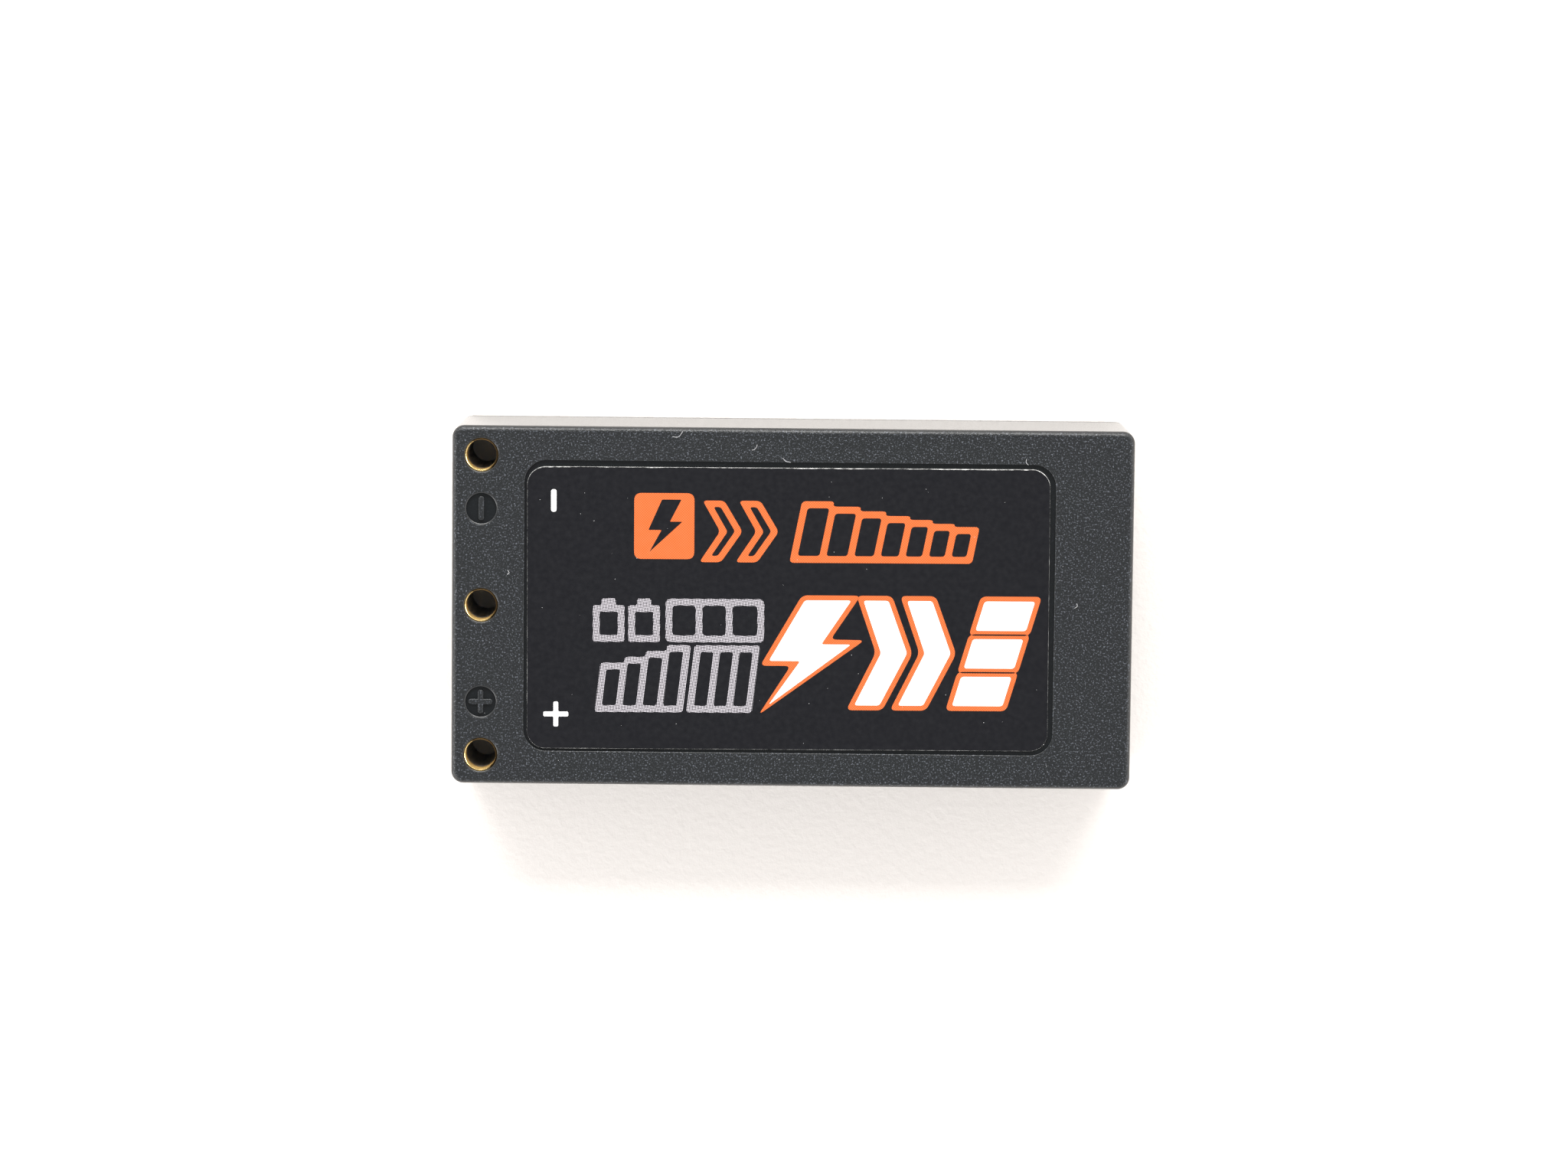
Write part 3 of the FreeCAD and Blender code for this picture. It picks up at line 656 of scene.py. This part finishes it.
def make_rims():
    """Burnished rims of the holes and sign discs, and the sockets' coned gold lips."""
    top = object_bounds()[1].z / MM - 0.001
    gold, plastic = gold_lip_painted_highlight(), rim_plastic()
    for sign in ("negative", "balance", "positive"):
        low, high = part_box(f"{sign}_socket")
        centre = Vector(((low.x + high.x) / 2, (low.y + high.y) / 2, 0))
        mouth = high.z / MM
        lip = [(1.16, mouth - 0.06), (1.155, mouth - 0.02), (1.02, mouth + 0.06)]
        lip += [(1.005, mouth + 0.055), (1.002, mouth + 0.04), (1.002, mouth - 0.06)]
        revolve(f"{sign}_lip", centre, lip, gold)
        hole = rounded_rim(HOLE_RADIUS, top, 0.05, 0.07)
        revolve(f"{sign}_hole_rim", centre, hole, plastic)
        if sign != "balance":
            disc = centre + Vector((0, math.copysign(DISC_FROM_SOCKET * MM, -centre.y), 0))
            lining = rounded_rim(DISC_RADIUS, top, 0.075, 0.215)
            revolve(f"{sign}_disc_rim", disc, lining, plastic)


def make_foam_pad(node, name):
    """A foam pad in its CAD solid's room: crowned faces that pull in towards rounded edges."""
    low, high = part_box(node)
    size, middle = high - low, (high + low) / 2
    thin = min(range(3), key=lambda axis: size[axis])
    wide = [axis for axis in range(3) if axis != thin]
    steps = 24
    work = bmesh.new()
    layers = []
    for side in (-1, 1):
        rows = []
        for i in range(steps + 1):
            u = -math.cos(math.pi * i / steps)
            row = []
            for j in range(steps + 1):
                v = -math.cos(math.pi * j / steps)
                crown = (max(0.0, 1 - u**12) * max(0.0, 1 - v**12)) ** 0.3
                place = Vector(middle)
                place[wide[0]] += u * size[wide[0]] / 2
                place[wide[1]] += v * size[wide[1]] / 2
                place[thin] += side * (0.35 + 0.65 * crown) * size[thin] / 2
                row.append(work.verts.new(place))
            rows.append(row)
        layers.append(rows)
    for rows in layers:
        for i in range(steps):
            for j in range(steps):
                work.faces.new((rows[i][j], rows[i + 1][j], rows[i + 1][j + 1], rows[i][j + 1]))
    rims = []
    for rows in layers:
        rim = rows[0][:-1] + [row[-1] for row in rows[:-1]] + rows[-1][:0:-1]
        rims.append(rim + [row[0] for row in rows[:0:-1]])
    count = len(rims[0])
    for index in range(count):
        after = (index + 1) % count
        work.faces.new((rims[0][index], rims[0][after], rims[1][after], rims[1][index]))
    pad = add_piece(name, closed_mesh(name, work), FINISHES["foam"])
    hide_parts(node)


def make_lint():
    """Short curled fibres that cling to the top face: X, Y, turn and length of each."""
    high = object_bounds()[1]
    rear, top = high.y / MM, high.z / MM
    curve = bpy.data.curves.new("lint", "CURVE")
    curve.dimensions = "3D"
    curve.bevel_depth = 0.011
    curve.bevel_resolution = 3
    curve.resolution_u = 10
    spots = (
        (-7.6, rear - 0.6, 0.5, 0.75), (-2.5, rear - 1.35, 0.9, 0.5), (-0.5, rear - 2.2, -0.5, 0.6),
        (15.4, rear - 2.1, -1.2, 0.4), (18.9, 0.3, 1.1, 0.35), (-18.8, 2.2, 1.5, 0.3),
    )
    for x, y, turn, length in spots:
        spline = curve.splines.new("NURBS")
        spline.points.add(4)
        for index, point in enumerate(spline.points):
            along = (index / 4 - 0.5) * length
            bend = 0.9 * length * (index / 4 - 0.5) ** 2 + rng.uniform(-0.03, 0.03)
            place = Matrix.Rotation(turn, 2) @ Vector((along, bend))
            point.co = (x + place.x, y + place.y, top + 0.012 + 0.02 * (index % 2), 1)
        spline.order_u = 3
        spline.use_endpoint_u = True
    mesh = curve_mesh(curve)
    mesh.transform(Matrix.Scale(MM, 4))
    n = Nodes("lint_finish")
    tone = n.noise(0.15 * MM)
    colour = n.mixed(tone, (0.45, 0.45, 0.47), (0.75, 0.75, 0.76))
    add_piece("lint_fibres", mesh, n.finish(colour, 0.6, n.bump(tone, 0.002 * MM)))


def make_dust():
    """Tiny pale grains scattered over the top face and the label."""
    low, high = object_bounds()
    label_low, label_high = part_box("top_label")
    grains = bmesh.new()
    tries = 70
    for _ in range(tries):
        x = rng.uniform(low.x + 0.6 * MM, high.x - 0.6 * MM)
        y = rng.uniform(low.y + 0.6 * MM, high.y - 0.6 * MM)
        on_label = label_low.x < x < label_high.x and label_low.y < y < label_high.y
        near_label = abs(x) < label_high.x + 0.5 * MM and abs(y) < label_high.y + 0.6 * MM
        if near_label and not on_label:
            continue
        size = rng.uniform(0.010, 0.026) * MM
        height = (label_high.z if on_label else high.z) + size * 0.4
        made = bmesh.ops.create_icosphere(grains, subdivisions=1, radius=size)
        for vertex in made["verts"]:
            vertex.co *= rng.uniform(0.7, 1.3)
            vertex.co += Vector((x, y, height))
    mesh = bpy.data.meshes.new("dust_grains")
    grains.to_mesh(mesh)
    grains.free()
    n = Nodes("dust_finish")
    tone = n.noise(0.02 * MM)
    colour = n.mixed(tone, (0.40, 0.40, 0.41), (0.72, 0.72, 0.72))
    add_piece("dust_grains", mesh, n.finish(colour, 0.8, n.bump(tone, 0.002 * MM)))


# ---------------------------------------------------------------- studio


def make_floor():
    mesh = bpy.data.meshes.new("floor")
    sheet = bmesh.new()
    bmesh.ops.create_grid(sheet, x_segments=8, y_segments=8, size=3.0)
    sheet.to_mesh(mesh)
    sheet.free()
    n = Nodes("floor_finish")
    fibres = n.noise(0.5 * MM, detail=3.0, rough=0.6)
    colour = n.mixed(fibres, (0.85, 0.81, 0.78), (0.90, 0.865, 0.835))
    mesh.materials.append(n.finish(colour, 0.75, n.bump(fibres, 0.05 * MM, 0.8)))
    floor = bpy.data.objects.new("floor", mesh)
    bpy.context.scene.collection.objects.link(floor)


def add_softbox(name, direction, elevation, distance, size, power, colour):
    """A rectangular soft light aimed at the pack; its direction is in degrees from +X."""
    light = bpy.data.lights.new(name, "AREA")
    light.shape = "RECTANGLE"
    light.size, light.size_y = size
    light.energy = power
    light.color = colour
    lamp = bpy.data.objects.new(name, light)
    bpy.context.scene.collection.objects.link(lamp)
    around, up = math.radians(direction), math.radians(elevation)
    level = math.cos(up)
    toward = Vector((math.cos(around) * level, math.sin(around) * level, math.sin(up)))
    lamp.location = toward * distance
    lamp.rotation_mode = "QUATERNION"
    lamp.rotation_quaternion = (-toward).to_track_quat("-Z", "Y")


def make_surroundings():
    """A pale room: bright low down, dimmer overhead."""
    world = bpy.data.worlds.new("room")
    world.use_nodes = True
    nodes, links = world.node_tree.nodes, world.node_tree.links
    place = nodes.new("ShaderNodeTexCoord")
    split = nodes.new("ShaderNodeSeparateXYZ")
    ramp = nodes.new("ShaderNodeMapRange")
    links.new(place.outputs["Generated"], split.inputs[0])
    links.new(split.outputs["Z"], ramp.inputs["Value"])
    for socket, number in zip(list(ramp.inputs)[1:5], (0.35, 1.0, 1.4, 0.3)):
        socket.default_value = number
    back = nodes["Background"]
    back.inputs["Color"].default_value = (1.0, 0.99, 0.98, 1)
    links.new(ramp.outputs[0], back.inputs["Strength"])
    bpy.context.scene.world = world


def make_studio():
    make_floor()
    make_surroundings()
    add_softbox("rear_box", 90, 38, 0.7, (0.72, 0.36), 8.4, (1.0, 0.99, 0.97))
    add_softbox("left_box", 207, 30, 0.7, (0.32, 0.22), 2.8, (1.0, 0.99, 0.98))
    add_softbox("right_box", 335, 30, 0.7, (0.8, 0.45), 1.6, (1.0, 0.98, 0.97))
    view = bpy.context.scene.view_settings
    view.view_transform = "Standard"
    view.look = "None"


def make_camera():
    """Almost straight above and a little to the rear, with the pack turned slightly in view."""
    data = bpy.data.cameras.new("camera")
    data.sensor_width = 36.0
    data.lens = 118.1
    data.clip_start, data.clip_end = 0.01, 20
    tilt, roll, distance = math.radians(5.822), 0.0101, 341.2 * MM
    aim = Vector((-0.548, 1.343, 10.0)) * MM
    back = Vector((0, math.sin(tilt), math.cos(tilt)))
    right, up = Vector((1, 0, 0)), Vector((0, math.cos(tilt), -math.sin(tilt)))
    across = right * math.cos(roll) + up * math.sin(roll)
    upward = up * math.cos(roll) - right * math.sin(roll)
    camera = bpy.data.objects.new("camera", data)
    bpy.context.scene.collection.objects.link(camera)
    axes = Matrix((across, upward, back)).transposed().to_4x4()
    camera.matrix_world = Matrix.Translation(aim + back * distance) @ axes
    bpy.context.scene.camera = camera


paint_nodes()
print_signs()
print_upper_row()
print_grey_rows()
print_mark()
print_underside()
make_cut_edge_and_highlight()
make_rims()
make_lint()
make_dust()
for pad in ("bottom_pad", "top_pad", "end_pad"):
    make_foam_pad(pad, f"{pad}_foam")
make_studio()
make_camera()
